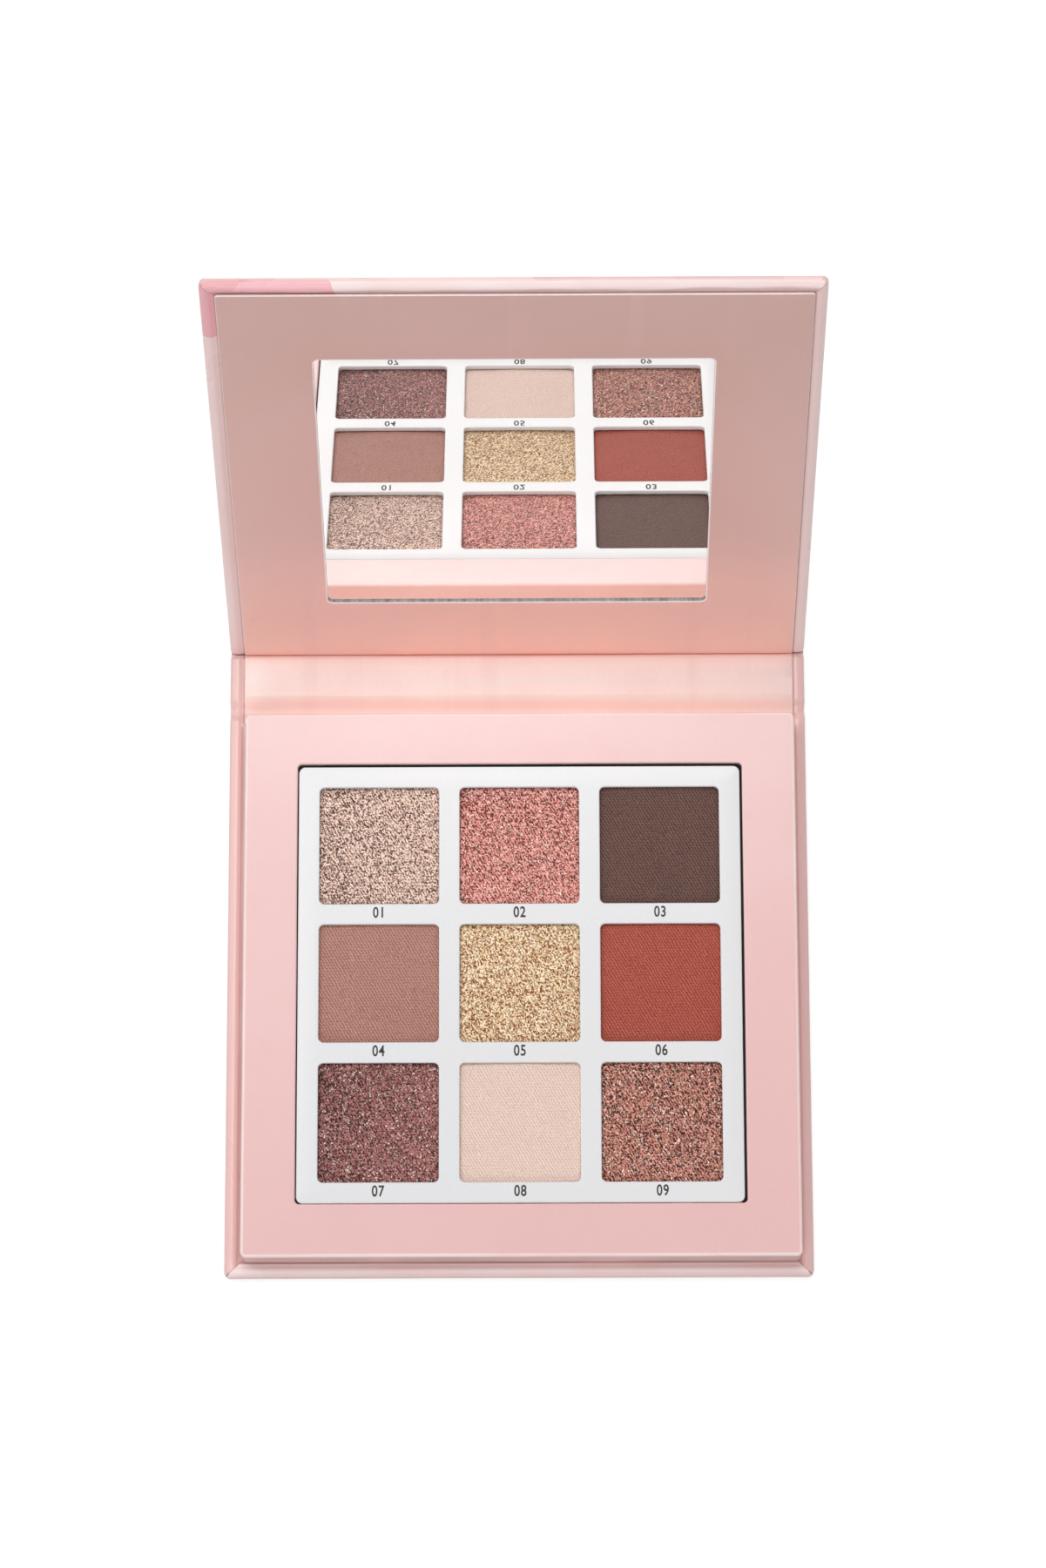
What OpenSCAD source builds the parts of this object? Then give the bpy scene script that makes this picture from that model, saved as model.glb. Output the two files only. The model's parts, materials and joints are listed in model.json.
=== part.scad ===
// Book-style eyeshadow palette: a paper-wrapped greyboard case, a mirror in its lid and nine
// pressed powders in a raised tray. Millimetres, +Z up. X runs across the case and Y towards the
// spine. The origin is the middle of the base panel's underside. The sizes build outwards, from
// the powder openings to the card, the tray and the case.

/* [Powders and pans] */
// Side of the square opening over each powder
opening = 22; // [18:0.1:28]
// Plan radius of each opening's corners
opening_r = 1; // [0.3:0.1:3]
// Web of card between neighbouring openings, across the case
web_x = 3.8; // [3.2:0.1:8]
// Web of card between neighbouring openings, front to back
web_y = 3.8; // [3.2:0.1:8]
// How far each tin pan reaches under the card, on every side
pan_lip = 0.7; // [0.5:0.1:1.2]
// Height of a tin pan
pan_h = 4; // [3:0.1:6]
// Sheet thickness of a tin pan
pan_wall = 0.3; // [0.2:0.05:0.5]
// Plan radius of a tin pan's corners
pan_corner_r = 1.6; // [1:0.1:3]
// Rounding round the foot of a tin pan
pan_foot_r = 0.6; // [0.3:0.1:1]
// How far a powder's crown stands above the rim of its pan
powder_crown = 0.15; // [0:0.05:0.3]
// How far the crown falls from the middle of a powder to the edge of its opening
powder_fall = 0.25; // [0.1:0.05:0.5]
// Diameter of the glue dot under each pan
glue_d = 10; // [6:1:16]
// Thickness of the glue dots
glue_t = 0.3; // [0.1:0.1:0.6]

/* [Card and tray] */
// Border of card outside the outer openings
card_border = 3.85; // [2:0.05:8]
// Thickness of the white card
card_t = 0.75; // [0.4:0.05:0.9]
// Plan radius of the card's corners
card_corner_r = 1.2; // [0.5:0.1:3]
// Gap between the card and its window, when the card lies in the middle
card_gap = 0.35; // [0.3:0.05:0.8]
// How far the card lies forward of the window's middle
card_forward = 0.2; // [0:0.05:0.25]
// How far the card lies left of the window's middle
card_left = 0.12; // [0:0.02:0.25]
// Plan radius of the tray window's corners
window_corner_r = 0.8; // [0.4:0.1:2]
// Width of the tray's rim beside the window
rim_side = 9.8; // [6:0.1:20]
// Width of the tray's rim in front of the window and behind it
rim_end = 9.6; // [9:0.1:20]
// Height of the tray above the base panel
tray_h = 7.4; // [6.8:0.1:12]
// Thickness of the tray's board
tray_board_t = 1; // [0.8:0.1:1.4]
// Plan radius of the tray's corners
tray_corner_r = 1; // [0.6:0.1:3]
// Rounding of the tray's folded edges
tray_edge_r = 0.45; // [0.3:0.05:0.8]
// Gap round the pan carrier in the tray, and between each pan and its hole
carrier_clear = 0.2; // [0.1:0.05:0.5]

/* [Case] */
// Thickness of the greyboard in each panel
board_t = 1.5; // [1.2:0.1:3]
// Thickness of the printed wrap paper
wrap_t = 0.15; // [0.1:0.01:0.2]
// Border of base panel left beside the tray
border_side = 2.85; // [1.5:0.05:8]
// Border of base panel left in front of the tray
border_front = 2.8; // [1.5:0.05:8]
// How far right of the middle the tray is glued
tray_shift = 0.45; // [0:0.05:1]
// Plan radius of the panels' corners
case_corner_r = 1.2; // [0.8:0.1:4]
// Rounding of the panels' wrapped edges
case_edge_r = 0.6; // [0.3:0.05:0.65]
// Width of the wrap turned in over each panel's edges
turn_in = 12; // [6:0.5:15]
// Width of the mitre seam where two turned-in flaps meet
mitre_seam = 0.14; // [0.1:0.02:0.3]

/* [Spine and folds] */
// Angle of the lid from closed, as the palette stands
lid_open = 111.7; // [95:0.1:175]
// Bare paper on each side of a fold, beyond the panels' own thickness
fold_ease = 0.2; // [0.1:0.05:0.8]
// Half of the slit in the wrap along each fold axis
fold_slit = 0.3; // [0.2:0.05:0.6]
// Gap between the tray and the spine when the palette is closed
spine_gap = 0.46; // [0.3:0.02:1]
// Gap between the tray and the lid's liner when the palette is closed
closed_gap = 0.5; // [0.3:0.05:1]
// Thickness of the liner paper on the spine
spine_liner_t = 0.2; // [0.1:0.05:0.4]

/* [Lid, mirror and closure] */
// Thickness of the liner card round the mirror
liner_t = 0.5; // [0.3:0.05:1]
// Border of wrap left beside the liner
liner_border = 2.2; // [1:0.1:6]
// Border of wrap left past the liner's front edge
liner_far_border = 2.4; // [1:0.1:6]
// Gap between the end of the lid's liner and the lid panel's folded end
liner_ease = 0.6; // [0.4:0.1:1.5]
// Plan radius of the liner's corners
liner_corner_r = 0.5; // [0.3:0.1:2]
// Width of the liner between the mirror window and the liner's front edge
mirror_far_rim = 16.9; // [13:0.1:24]
// Width of the mirror window
mirror_open_w = 69.6; // [50:0.1:75]
// Height of the mirror window, along the lid
mirror_open_h = 69.2; // [50:0.1:78]
// Plan radius of the mirror window's corners
mirror_open_r = 1; // [0.5:0.1:4]
// How far the mirror reaches under its liner, on every side
mirror_lip = 1.5; // [1:0.1:3]
// Thickness of the mirror glass
mirror_t = 1; // [0.8:0.05:1.1]
// Thickness of the tape behind the mirror
tape_t = 0.15; // [0.1:0.05:0.3]
// Gap round the mirror in its recess
mirror_clear = 0.3; // [0.2:0.05:0.6]
// Diameter of the closing magnets and of their steel discs
magnet_d = 6; // [4:0.5:6.5]
// Thickness of the closing magnets
magnet_t = 2; // [1:0.1:2.5]
// Thickness of the steel discs in the lid
disc_t = 0.8; // [0.5:0.05:0.9]
// Distance between the two magnets
magnet_span = 60; // [30:1:80]
// Gap round the magnets and discs in their holes
magnet_clear = 0.1; // [0.05:0.05:0.3]

/* [Hidden] */
$fn = 48;
COLS = 3;
ROWS = 3;
COUNT = COLS * ROWS;
EPS = 0.01;
CUT = 20;                       // reach of a cutting block past what it cuts

// The powder grid, the card and the tray, from the inside out
pitch_x = opening + web_x;
pitch_y = opening + web_y;
card_w = COLS * opening + (COLS - 1) * web_x + 2 * card_border;
card_d = ROWS * opening + (ROWS - 1) * web_y + 2 * card_border;
window_w = card_w + 2 * card_gap;
window_d = card_d + 2 * card_gap;
tray_w = window_w + 2 * rim_side;
tray_d = window_d + 2 * rim_end;
pan_size = opening + 2 * pan_lip;
pan_hole = pan_size + 2 * carrier_clear;

// The wrapped panels
panel_t = board_t + 2 * wrap_t;
case_w = tray_w + 2 * border_side;
panel_d = border_front + tray_d + spine_gap + spine_liner_t + panel_t;
fold_half = panel_t + fold_ease;
base_fold_y = panel_d / 2;
front_y = -panel_d / 2;

// Levels in the tray, counted from the underside of the case
tray_top = panel_t + tray_h;
tray_panel_t = tray_board_t + wrap_t;
shelf_z = tray_top - tray_panel_t;            // underside of the tray's top, where the card lies
pan_z = shelf_z - pan_h;
riser_t = pan_z - glue_t - panel_t;
tray_x = tray_shift;
tray_y = front_y + border_front + tray_d / 2;
card_x = tray_x - card_left;
card_y = tray_y - card_forward;
inner_w = tray_w - 2 * tray_panel_t;
inner_d = tray_d - 2 * tray_panel_t;
carrier_w = inner_w - 2 * carrier_clear;
carrier_d = inner_d - 2 * carrier_clear;

// The spine stands as high as the closed stack, measured from fold to fold
spine_h = panel_t + tray_h + closed_gap + liner_t + panel_t;
lid_fold_y = base_fold_y + spine_h;
lid_tilt = 180 - lid_open;                    // how far the lid is folded up from flat
liner_w = case_w - 2 * liner_border;

// The lid, along its own length from its fold
liner_far = panel_d - liner_far_border;
mirror_mid = liner_far - mirror_far_rim - mirror_open_h / 2;
frame_board_t = mirror_t + tape_t - wrap_t;
back_board_t = board_t - frame_board_t;
mirror_w = mirror_open_w + 2 * mirror_lip;
mirror_h = mirror_open_h + 2 * mirror_lip;

// The magnets lie halfway between the front pans and the carrier's front edge
pan_front_y = card_y - pitch_y * (ROWS - 1) / 2 - pan_hole / 2;
magnet_y = (pan_front_y + tray_y - carrier_d / 2) / 2;
disc_along = base_fold_y - magnet_y;          // the same place, on the closed lid

PAPER = [0.93, 0.73, 0.72];
PAPER_DEEP = [0.90, 0.66, 0.66];
GREYBOARD = [0.62, 0.58, 0.52];
CARD = [0.93, 0.93, 0.93];
BLACK = [0.08, 0.07, 0.07];
TIN = [0.80, 0.80, 0.80];
SHADES = [
    [0.76, 0.64, 0.58], [0.72, 0.44, 0.42], [0.38, 0.28, 0.26],
    [0.67, 0.48, 0.43], [0.82, 0.66, 0.48], [0.62, 0.30, 0.25],
    [0.50, 0.37, 0.36], [0.90, 0.81, 0.76], [0.58, 0.42, 0.39]
];

function pan_x(i) = card_x + (i % COLS - (COLS - 1) / 2) * pitch_x;
function pan_y(i) = card_y + ((ROWS - 1) / 2 - floor(i / COLS)) * pitch_y;

// ---- Shared shapes -----------------------------------------------------------------------

// Rectangle with round corners, centred
module round_rect(w, d, r) {
    square([w - 2 * r, d], center = true);
    square([w, d - 2 * r], center = true);
    for (sx = [-1, 1], sy = [-1, 1])
        translate([sx * (w / 2 - r), sy * (d / 2 - r)]) circle(r);
}

// Flat plate with round corners, standing on z = 0
module plate(w, d, t, r) {
    linear_extrude(t) round_rect(w, d, r);
}

// Plate whose long edges are rounded too, as paper lies round a board
module soft_plate(w, d, t, corner_r, edge_r) {
    intersection() {
        plate(w, d, t, corner_r);
        translate([0, d / 2, t / 2]) rotate([90, 0, 0])
            linear_extrude(d) round_rect(w, t, edge_r);
        translate([-w / 2, 0, t / 2]) rotate([90, 0, 90])
            linear_extrude(w) round_rect(d, t, edge_r);
    }
}

// Block from y0 to y1 and from z0 to z1, as wide as w
module bar(w, y0, y1, z0, z1) {
    translate([-w / 2, y0, z0]) cube([w, y1 - y0, z1 - z0]);
}

// ---- A wrapped panel, in its own frame: fold axis along X at the origin, panel along +Y,
// ---- outside down. The base and the lid are both made from it.

// The panel's outline, drawn in by inset and starting at near
module panel_outline(inset, near) {
    intersection() {
        translate([0, 0, inset])
            soft_plate(case_w - 2 * inset, 2 * (panel_d - inset), panel_t - 2 * inset,
                       case_corner_r - inset, case_edge_r - inset);
        bar(2 * case_w, near, 2 * panel_d, -CUT, CUT);
    }
}

module panel_board() {
    panel_outline(wrap_t, fold_half);
}

// Slit along the mitre where the side flap and the front flap meet
module mitre_cut(side) {
    translate([side * (case_w / 2 - case_edge_r), panel_d - case_edge_r, panel_t - wrap_t])
        rotate([0, 0, side > 0 ? -135 : -45])
            translate([0, -mitre_seam / 2, 0])
                cube([(turn_in - case_edge_r) * sqrt(2) - mitre_seam, mitre_seam, CUT]);
}

// One printed sheet: round three edges of the board and turned in over its inside
module panel_wrap() {
    difference() {
        panel_outline(0, fold_slit);
        panel_board();
        bar(2 * case_w, -CUT, fold_half, wrap_t, CUT);
        bar(case_w - 2 * turn_in, -CUT, panel_d - turn_in, panel_t - wrap_t - EPS, CUT);
        mitre_cut(-1);
        mitre_cut(1);
    }
}

module place_base() {
    translate([0, base_fold_y, 0]) mirror([0, 1, 0]) children();
}

module place_spine() {
    translate([0, base_fold_y, 0]) children();
}

module place_lid() {
    translate([0, lid_fold_y, 0]) rotate([lid_tilt, 0, 0]) children();
}

// ---- Base ----------------------------------------------------------------------------------

module base_board() {
    color(GREYBOARD) place_base() panel_board();
}

module base_wrap() {
    color(PAPER) place_base() panel_wrap();
}

// Board box, open below, with the window in its top
module tray_box() {
    color(GREYBOARD) translate([tray_x, tray_y, panel_t]) difference() {
        tray_outline(wrap_t, tray_h - wrap_t);
        translate([0, 0, -CUT])
            plate(inner_w, inner_d, CUT + tray_h - tray_panel_t, tray_corner_r - wrap_t);
        plate(window_w + 2 * wrap_t, window_d + 2 * wrap_t, CUT, window_corner_r + wrap_t);
    }
}

// The tray's outside, drawn in by inset and cut off at top; its foot stays square
module tray_outline(inset, top) {
    intersection() {
        translate([0, 0, -tray_h])
            soft_plate(tray_w - 2 * inset, tray_d - 2 * inset, tray_h + top,
                       tray_corner_r - inset, tray_edge_r - inset);
        translate([0, 0, CUT / 2 + inset])
            cube([2 * tray_w, 2 * tray_d, CUT], center = true);
    }
}

// Printed sheet over the tray, folded down into the window and under the walls
module tray_wrap() {
    color(PAPER) translate([tray_x, tray_y, panel_t]) difference() {
        tray_outline(0, tray_h);
        difference() {
            tray_outline(wrap_t, tray_h - wrap_t);
            translate([0, 0, tray_h - tray_panel_t])
                plate(window_w + 2 * wrap_t, window_d + 2 * wrap_t, CUT, window_corner_r + wrap_t);
        }
        translate([0, 0, -CUT])
            plate(inner_w, inner_d, CUT + tray_h - tray_panel_t, tray_corner_r - wrap_t);
        plate(window_w, window_d, CUT, window_corner_r);
    }
}

// Board under the pans, inside the tray's walls
module riser_board() {
    color(GREYBOARD) translate([tray_x, tray_y, panel_t])
        plate(carrier_w, carrier_d, riser_t, tray_corner_r - wrap_t);
}

// Black board grid that holds the pans apart, with two holes for the magnets
module pan_carrier() {
    color(BLACK) difference() {
        translate([tray_x, tray_y, panel_t + riser_t])
            plate(carrier_w, carrier_d, shelf_z - panel_t - riser_t, tray_corner_r - wrap_t);
        for (i = [0:COUNT - 1])
            translate([pan_x(i), pan_y(i), 0])
                plate(pan_hole, pan_hole, CUT, pan_corner_r + carrier_clear);
        magnet_places(magnet_d / 2 + magnet_clear, CUT);
    }
}

// Discs or holes at the two magnets, hanging down from the underside of the tray's top
module magnet_places(r, depth) {
    for (side = [-1, 1])
        translate([tray_x + side * magnet_span / 2, magnet_y, shelf_z - depth])
            cylinder(r = r, h = depth + EPS);
}

module tray_magnets() {
    color(TIN) for (side = [-1, 1])
        translate([tray_x + side * magnet_span / 2, magnet_y, shelf_z - magnet_t])
            cylinder(d = magnet_d, h = magnet_t);
}

module pan_glue() {
    color(CARD) for (i = [0:COUNT - 1])
        translate([pan_x(i), pan_y(i), panel_t + riser_t]) cylinder(d = glue_d, h = glue_t);
}

// Pressed tin pan
module pan(i) {
    color(TIN) translate([pan_x(i), pan_y(i), pan_z]) difference() {
        pan_outline(0);
        pan_outline(pan_wall);
    }
}

// A pan's outside, or its inside where inset is the wall
module pan_outline(inset) {
    size = pan_size - 2 * inset;
    intersection() {
        translate([0, 0, inset])
            soft_plate(size, size, 2 * pan_h, pan_corner_r - inset, pan_foot_r - inset);
        translate([0, 0, (pan_h + inset) / 2])
            cube([2 * size, 2 * size, pan_h + inset], center = true);
    }
}

// Pressed powder, which fills its pan and is crowned like a very large ball
module powder(i) {
    color(SHADES[i]) translate([pan_x(i), pan_y(i), pan_z]) intersection() {
        pan_fill();
        rotate_extrude() powder_section();
    }
}

// Half section of the crown, out past the pan's corners
module powder_section() {
    crown_r = opening * opening / (8 * powder_fall);
    intersection() {
        translate([0, pan_h + powder_crown - crown_r]) circle(crown_r, $fn = 720);
        square([pan_size, 2 * pan_h]);
    }
}

// The space inside a pan, carried on up through the opening in the card
module pan_fill() {
    size = pan_size - 2 * pan_wall;
    translate([0, 0, pan_wall])
        soft_plate(size, size, 3 * pan_h, pan_corner_r - pan_wall, pan_foot_r - pan_wall);
}

// White card with an opening over each powder
module pan_card() {
    color(CARD) difference() {
        translate([card_x, card_y, shelf_z]) plate(card_w, card_d, card_t, card_corner_r);
        for (i = [0:COUNT - 1])
            translate([pan_x(i), pan_y(i), 0]) plate(opening, opening, CUT, opening_r);
    }
}

// ---- Spine, from the base fold to the lid fold ------------------------------------------------

// The spine's section across the case, drawn in by inset, from y0 to y1
module spine_outline(inset, y0, y1) {
    translate([0, y1, panel_t / 2]) rotate([90, 0, 0])
        linear_extrude(y1 - y0)
            round_rect(case_w - 2 * inset, panel_t - 2 * inset, case_edge_r - inset);
}

module spine_board() {
    color(GREYBOARD) place_spine() spine_outline(wrap_t, fold_half, spine_h - fold_half);
}

module spine_wrap() {
    color(PAPER_DEEP) place_spine() difference() {
        spine_outline(0, fold_slit, spine_h - fold_slit);
        spine_outline(wrap_t, fold_half, spine_h - fold_half);
        bar(2 * case_w, -CUT, fold_half, wrap_t, CUT);
        bar(2 * case_w, spine_h - fold_half, spine_h + CUT, wrap_t, CUT);
        bar(case_w - 2 * turn_in, -CUT, spine_h + CUT, panel_t - wrap_t - EPS, CUT);
    }
}

module spine_liner() {
    color(PAPER) place_spine()
        bar(liner_w, fold_half, spine_h - fold_half, panel_t, panel_t + spine_liner_t);
}

// ---- Lid, in the panel's own frame and then set up at its opening angle ---------------------

module lid_back_board() {
    color(GREYBOARD) place_lid() intersection() {
        panel_board();
        bar(2 * case_w, 0, 2 * panel_d, 0, wrap_t + back_board_t);
    }
}

// Upper half of the lid's board, with the mirror's recess and two holes for the steel discs
module lid_frame_board() {
    color(GREYBOARD) place_lid() difference() {
        panel_board();
        bar(2 * case_w, 0, 2 * panel_d, -CUT, wrap_t + back_board_t);
        translate([0, mirror_mid, 0])
            plate(mirror_w + 2 * mirror_clear, mirror_h + 2 * mirror_clear, CUT, mirror_open_r);
        disc_places(magnet_d / 2 + magnet_clear, wrap_t + back_board_t - EPS, CUT);
    }
}

// Two discs or holes in the lid, over the magnets when it is closed
module disc_places(r, z, h) {
    for (side = [-1, 1])
        translate([tray_x + side * magnet_span / 2, disc_along, z]) cylinder(r = r, h = h);
}

module lid_discs() {
    color(TIN) place_lid() disc_places(magnet_d / 2, wrap_t + back_board_t, disc_t);
}

module lid_wrap() {
    color(PAPER) place_lid() panel_wrap();
}

// Liner card over the lid's inside, with the mirror's window
module lid_liner() {
    near = fold_half + liner_ease;
    color(PAPER) place_lid() difference() {
        translate([0, (near + liner_far) / 2, panel_t])
            plate(liner_w, liner_far - near, liner_t, liner_corner_r);
        translate([0, mirror_mid, 0]) plate(mirror_open_w, mirror_open_h, CUT, mirror_open_r);
    }
}

module mirror_tape() {
    color(BLACK) place_lid() translate([0, mirror_mid, wrap_t + back_board_t])
        plate(mirror_w, mirror_h, tape_t, mirror_open_r);
}

module mirror_glass() {
    color([0.82, 0.86, 0.88]) place_lid() translate([0, mirror_mid, panel_t - mirror_t])
        plate(mirror_w, mirror_h, mirror_t, mirror_open_r);
}

// ---- Assembly -------------------------------------------------------------------------------

base_board();
base_wrap();
tray_box();
tray_wrap();
riser_board();
pan_carrier();
pan_glue();
for (i = [0:COUNT - 1]) {
    pan(i);
    powder(i);
}
pan_card();
tray_magnets();
spine_board();
spine_wrap();
spine_liner();
lid_back_board();
lid_frame_board();
lid_wrap();
lid_liner();
mirror_glass();  // mirror
mirror_tape();
lid_discs();
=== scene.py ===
"""Looks for the book-style eyeshadow palette: a paper-wrapped board case with a mirror in its lid
and nine pressed powders in a white card on a raised tray. Lengths in the shape code are in
millimetres and become metres when a mesh is made."""

import json
import math

import bpy
import numpy as np
from mathutils import Matrix, Vector, noise
from mathutils.geometry import delaunay_2d_cdt

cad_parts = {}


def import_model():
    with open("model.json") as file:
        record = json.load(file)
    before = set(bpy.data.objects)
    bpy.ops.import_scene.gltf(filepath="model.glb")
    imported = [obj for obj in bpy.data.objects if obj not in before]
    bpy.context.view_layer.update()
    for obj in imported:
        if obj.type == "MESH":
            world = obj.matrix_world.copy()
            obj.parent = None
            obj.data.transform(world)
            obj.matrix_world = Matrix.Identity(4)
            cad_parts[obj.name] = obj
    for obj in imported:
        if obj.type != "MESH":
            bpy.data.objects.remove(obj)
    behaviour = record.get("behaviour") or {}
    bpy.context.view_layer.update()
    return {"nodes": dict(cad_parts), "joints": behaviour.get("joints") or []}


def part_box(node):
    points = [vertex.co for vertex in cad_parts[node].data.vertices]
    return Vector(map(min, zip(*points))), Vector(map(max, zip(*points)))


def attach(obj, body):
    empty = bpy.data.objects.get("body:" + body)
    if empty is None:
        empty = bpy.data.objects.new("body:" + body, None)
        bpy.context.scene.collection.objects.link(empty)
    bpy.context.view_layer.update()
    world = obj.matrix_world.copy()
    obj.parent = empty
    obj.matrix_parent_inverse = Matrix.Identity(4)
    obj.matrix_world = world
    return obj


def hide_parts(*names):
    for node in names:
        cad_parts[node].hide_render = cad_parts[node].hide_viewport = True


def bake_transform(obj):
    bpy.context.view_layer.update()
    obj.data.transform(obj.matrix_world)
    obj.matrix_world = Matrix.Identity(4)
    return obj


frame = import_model()

MM = 0.001
NODES = frame["nodes"]
JOINTS = {j["name"]: j for j in frame["joints"]}

# ---- Sizes, read from the frame or the same as in the CAD source ----


def box_mm(node):
    """(lowest corner, highest corner) of a CAD node, in millimetres."""
    low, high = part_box(node)
    return low / MM, high / MM


def plan_of(low, high):
    """(width, depth, middle x, middle y) of a box from above."""
    return high.x - low.x, high.y - low.y, (high.x + low.x) / 2, (high.y + low.y) / 2


BASE_FOLD = JOINTS["spine_fold"]["pos_m"][1] / MM
LID_FOLD = JOINTS["lid_fold"]["pos_m"][1] / MM
SPINE_H = LID_FOLD - BASE_FOLD
LID_TILT = math.radians(-JOINTS["lid_fold"]["range_deg"][0])
HALF_W = box_mm("base_wrap")[1].x
FRONT = box_mm("base_wrap")[0].y
PANEL_D = BASE_FOLD - FRONT
PANEL_T = box_mm("base_wrap")[1].z
CORNER_R = 1.2
FOLD_HALF = 2.0
WRAP_T = 0.15
TURN_IN = 12.0
SPINE_LINER_T = 0.2
LINER_T = 0.5
LINER_HALF_W = box_mm("lid_liner")[1].x
LEFT_TRIM = 0.5
LINER_INSET, WINDOW_INSET = 2.4, 16.9
LINER_FAR = PANEL_D - LINER_INSET
WINDOW_W, WINDOW_H, WINDOW_R = 69.6, 69.2, 1.0
MIRROR_MID = LINER_FAR - WINDOW_INSET - WINDOW_H / 2
TRAY_LOW, TRAY_HIGH = box_mm("tray_wrap")
TRAY_WINDOW, TRAY_WALL = 82.0, 1.15
CARD_LOW, CARD_HIGH = box_mm("pan_card")
SHELF = CARD_LOW.z
OPENING, OPENING_R = 22.0, 1.0

# ---- Mesh building ----

SHARP = 40    # degrees between two faces from which their edge is shaded sharp


def smooth(a, b, x):
    """A soft step from 0 at a to 1 at b."""
    t = min(1.0, max(0.0, (x - a) / (b - a)))
    return t * t * (3 - 2 * t)


def wobble(x, y, z, scale, seed=0.0):
    """Soft noise from -1 to 1 at a point in millimetres."""
    return noise.noise(Vector((x / scale + seed, y / scale - seed, z / scale + 0.37 * seed)))


class Shape:
    """Vertices, faces, material numbers and UVs of one mesh, in millimetres."""

    def __init__(self):
        self.v, self.f, self.m, self.uv = [], [], [], {}

    def add(self, points):
        start = len(self.v)
        self.v.extend(points)
        return list(range(start, len(self.v)))

    def face(self, ids, mat=0):
        self.f.append(tuple(ids))
        self.m.append(mat)

    def skin(self, a, b, mat=0):
        """Faces between two loops of the same length."""
        for i in range(len(a)):
            j = (i + 1) % len(a)
            self.face((a[i], a[j], b[j], b[i]), mat)

    def fill(self, loops, rows, plan, lift, up, mat):
        """Triangles between loops (the first is the outside), kept straight along rows."""
        ids = [i for loop in loops for i in loop]
        flat = [Vector(plan[i]) for i in ids]
        edges, at = [], 0
        for loop in loops:
            n = len(loop)
            edges += [(at + k, at + (k + 1) % n) for k in range(n)]
            at += n
        extra = []
        for row in rows:
            base = len(flat) + len(extra)
            extra += [Vector(p) for p in row]
            edges += [(base + k, base + k + 1) for k in range(len(row) - 1)]
        out = delaunay_2d_cdt(flat + extra, edges, [], 1, 1e-5)
        names = {}
        for k, source in enumerate(out[3]):
            known = [s for s in source if s < len(ids)]
            if known:
                names[k] = ids[known[0]]
            else:
                p = out[0][k]
                names[k] = self.add([lift(p.x, p.y)])[0]
                plan[names[k]] = (p.x, p.y)
        holes = [[plan[i] for i in loop] for loop in loops[1:]]
        for tri in out[2]:
            c = sum((out[0][k] for k in tri), Vector((0, 0))) / 3
            if not inside((c.x, c.y), [plan[i] for i in loops[0]]):
                continue
            if any(inside((c.x, c.y), hole) for hole in holes):
                continue
            face = [names[k] for k in tri]
            self.face(face if up else face[::-1], mat)

    def mesh(self, name, place, smooth_angle):
        """The mesh in metres, with its UVs in the layer that the sheet materials read."""
        me = bpy.data.meshes.new(name)
        points = [place(*p) if place else p for p in self.v]
        me.from_pydata([Vector(p) * MM for p in points], [], self.f)
        me.polygons.foreach_set("material_index", self.m)
        layer = me.uv_layers.new(name="sheet")
        flat = [] if self.uv else [(x * MM, y * MM) for x, y, z in self.v]
        for poly in me.polygons:
            corners = self.uv[poly.index] if self.uv else [flat[v] for v in poly.vertices]
            for k, corner in zip(corners, poly.loop_indices):
                layer.data[corner].uv = k
        me.polygons.foreach_set("use_smooth", [True] * len(me.polygons))
        me.validate()
        me.update()
        me.set_sharp_from_angle(angle=math.radians(smooth_angle))
        return me


def inside(p, loop):
    """Whether a point of the plan is inside a loop."""
    x, y = p
    found = False
    for (x0, y0), (x1, y1) in zip(loop, loop[1:] + loop[:1]):
        if (y0 > y) != (y1 > y) and x < (x1 - x0) * (y - y0) / (y1 - y0) + x0:
            found = not found
    return found


def round_rect(w, d, r, cx=0.0, cy=0.0, arc=6, side=1):
    """Counter-clockwise loop of a rectangle with round corners, with side steps along each side."""
    corners, points = [], []
    for k, (sx, sy) in enumerate(((1, -1), (1, 1), (-1, 1), (-1, -1))):
        ox, oy = cx + sx * (w / 2 - r), cy + sy * (d / 2 - r)
        turn = [math.radians(-90 + 90 * k + 90 * i / arc) for i in range(arc + 1)]
        corners.append([(ox + r * math.cos(a), oy + r * math.sin(a)) for a in turn])
    for corner, following in zip(corners, corners[1:] + corners[:1]):
        (x0, y0), (x1, y1) = corner[-1], following[0]
        points += corner
        points += [(x0 + (x1 - x0) * i / side, y0 + (y1 - y0) * i / side) for i in range(1, side)]
    return points


def offset(loop, q, keep=None):
    """The loop moved inwards by q, to the left of its own direction. Points that keep picks out stay
    at their y."""
    out = []
    n = len(loop)
    for i, (x, y) in enumerate(loop):
        x0, y0 = loop[i - 1]
        x1, y1 = loop[(i + 1) % n]
        a = Vector((x - x0, y - y0)).normalized()
        b = Vector((x1 - x, y1 - y)).normalized()
        na, nb = Vector((-a.y, a.x)), Vector((-b.y, b.x))
        m = (na + nb).normalized()
        m = m / max(0.3, m.dot(na))
        out.append((x + q * m.x, y if keep and keep(x, y) else y + q * m.y))
    return out


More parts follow.
